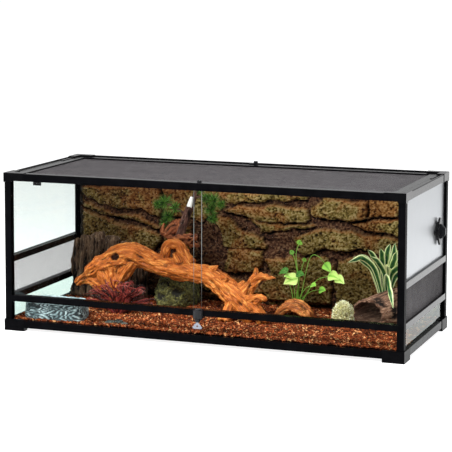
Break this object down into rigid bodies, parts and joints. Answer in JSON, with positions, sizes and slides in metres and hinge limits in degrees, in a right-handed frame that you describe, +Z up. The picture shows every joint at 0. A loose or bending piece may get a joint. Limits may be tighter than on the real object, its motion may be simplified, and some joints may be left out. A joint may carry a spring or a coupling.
{
  "type": "reptile terrarium",
  "caption": "Long black-framed glass terrarium with sliding front doors, lift-off mesh lid, side vents, key lock, cable port and a furnished rock, wood and plant interior.",
  "frame": {"origin": "centre of the outline on the floor under the corner feet", "axes": "+X to the right along the tank seen from the front, +Y to the back, +Z up"},
  "size_m": [1.218, 0.516, 0.4694],
  "materials": {
    "frame_rails": "satin black",
    "corner_plastic": "fine matte black",
    "clear_glass": "clear, faint green",
    "wire_mesh": "woven, dark grey",
    "bright_steel": "bright",
    "lock_steel": "turned",
    "lock_black": "satin black",
    "black_fittings": "satin black",
    "rock_foam": "rough moulded foam, olive and ochre",
    "bark_chips": "loose shredded bark",
    "driftwood": "weathered grain",
    "cork_bark": "rough bark",
    "dish_resin": "rock-like, blue grey",
    "cork_tube": "rough bark",
    "hide_wood": "rough",
    "pine_branch": "green needles, dark bark",
    "red_leaves": "maroon leaves",
    "green_leaves": "light green leaves",
    "striped_leaves": "dark green with pale edges",
    "pale_moss": "soft tufts"
  },
  "bodies": {
    "tank": {"foot_front_left": "corner_plastic", "foot_front_right": "corner_plastic", "foot_back_left": "corner_plastic", "foot_back_right": "corner_plastic", "bottom_rail_front": "frame_rails", "bottom_rail_back": "frame_rails", "bottom_rail_left": "frame_rails", "bottom_rail_right": "frame_rails", "base_pane": "clear_glass", "post_front_left": "frame_rails", "post_front_right": "frame_rails", "post_back_left": "frame_rails", "post_back_right": "frame_rails", "top_rail_front": "frame_rails", "top_rail_back": "frame_rails", "top_rail_left": "frame_rails", "top_rail_right": "frame_rails", "cap_front_left": "corner_plastic", "cap_front_right": "corner_plastic", "cap_back_left": "corner_plastic", "cap_back_right": "corner_plastic", "corner_screws": "bright_steel", "door_bar": "frame_rails", "lower_front_pane": "clear_glass", "back_pane": "clear_glass", "side_bars_left": "frame_rails", "side_bars_right": "frame_rails", "lower_side_panes": "clear_glass", "upper_pane_left": "clear_glass", "upper_pane_right": "clear_glass", "vent_mesh_left": "wire_mesh", "vent_mesh_right": "wire_mesh", "lock_housing": "lock_black", "port_flange": "black_fittings", "port_nut": "black_fittings", "door_stop_clip": "black_fittings", "rock_background": "rock_foam", "mossy_boulder": "rock_foam", "substrate": "bark_chips", "driftwood": "driftwood", "cork_bark": "cork_bark", "water_dish": "dish_resin", "cork_tube_hide": "cork_tube", "low_wood_hide": "hide_wood", "pine_branch": "pine_branch", "red_plant": "red_leaves", "leafy_plant": "green_leaves", "variegated_plant": "striped_leaves", "moss_clump": "pale_moss"},
    "door_left": {"door_left": "clear_glass"},
    "door_right": {"door_right": "clear_glass"},
    "lid": {"lid_frame": "frame_rails", "lid_mesh": "wire_mesh"},
    "latch_front": {"latch_front": "black_fittings"},
    "latch_back": {"latch_back": "black_fittings"},
    "lock_cylinder": {"lock_cylinder": "lock_steel", "key": "bright_steel"},
    "port_cover": {"port_cover": "black_fittings"},
    "shutter_left": {"inlet_shutter_left": "black_fittings"},
    "shutter_right": {"inlet_shutter_right": "black_fittings"}
  },
  "joints": [
    {"name": "left_door_slide", "type": "slide", "parent": "tank", "child": "door_left", "axis": [1, 0, 0], "range_m": [0, 0.564]},
    {"name": "right_door_slide", "type": "slide", "parent": "tank", "child": "door_right", "axis": [-1, 0, 0], "range_m": [0, 0.564]},
    {"name": "lid_lift", "type": "slide", "parent": "tank", "child": "lid", "axis": [0, 0, 1], "range_m": [0, 0.15]},
    {"name": "front_latch_turn", "type": "hinge", "parent": "tank", "child": "latch_front", "pos_m": [-0.0035, -0.231, 0.4595], "axis": [0, 0, 1], "range_deg": [0, 90]},
    {"name": "back_latch_turn", "type": "hinge", "parent": "tank", "child": "latch_back", "pos_m": [-0.0035, 0.244, 0.4595], "axis": [0, 0, 1], "range_deg": [0, 90]},
    {"name": "lock_turn", "type": "hinge", "parent": "tank", "child": "lock_cylinder", "pos_m": [-0.0015, -0.2505, 0.09], "axis": [0, 0, 1], "range_deg": [0, 90]},
    {"name": "port_turn", "type": "hinge", "parent": "tank", "child": "port_cover", "pos_m": [0.584, 0.1565, 0.302], "axis": [1, 0, 0], "range_deg": [0, 90]},
    {"name": "left_shutter_slide", "type": "slide", "parent": "tank", "child": "shutter_left", "axis": [0, -1, 0], "range_m": [0, 0.049]},
    {"name": "right_shutter_slide", "type": "slide", "parent": "tank", "child": "shutter_right", "axis": [0, -1, 0], "range_m": [0, 0.049]}
  ]
}
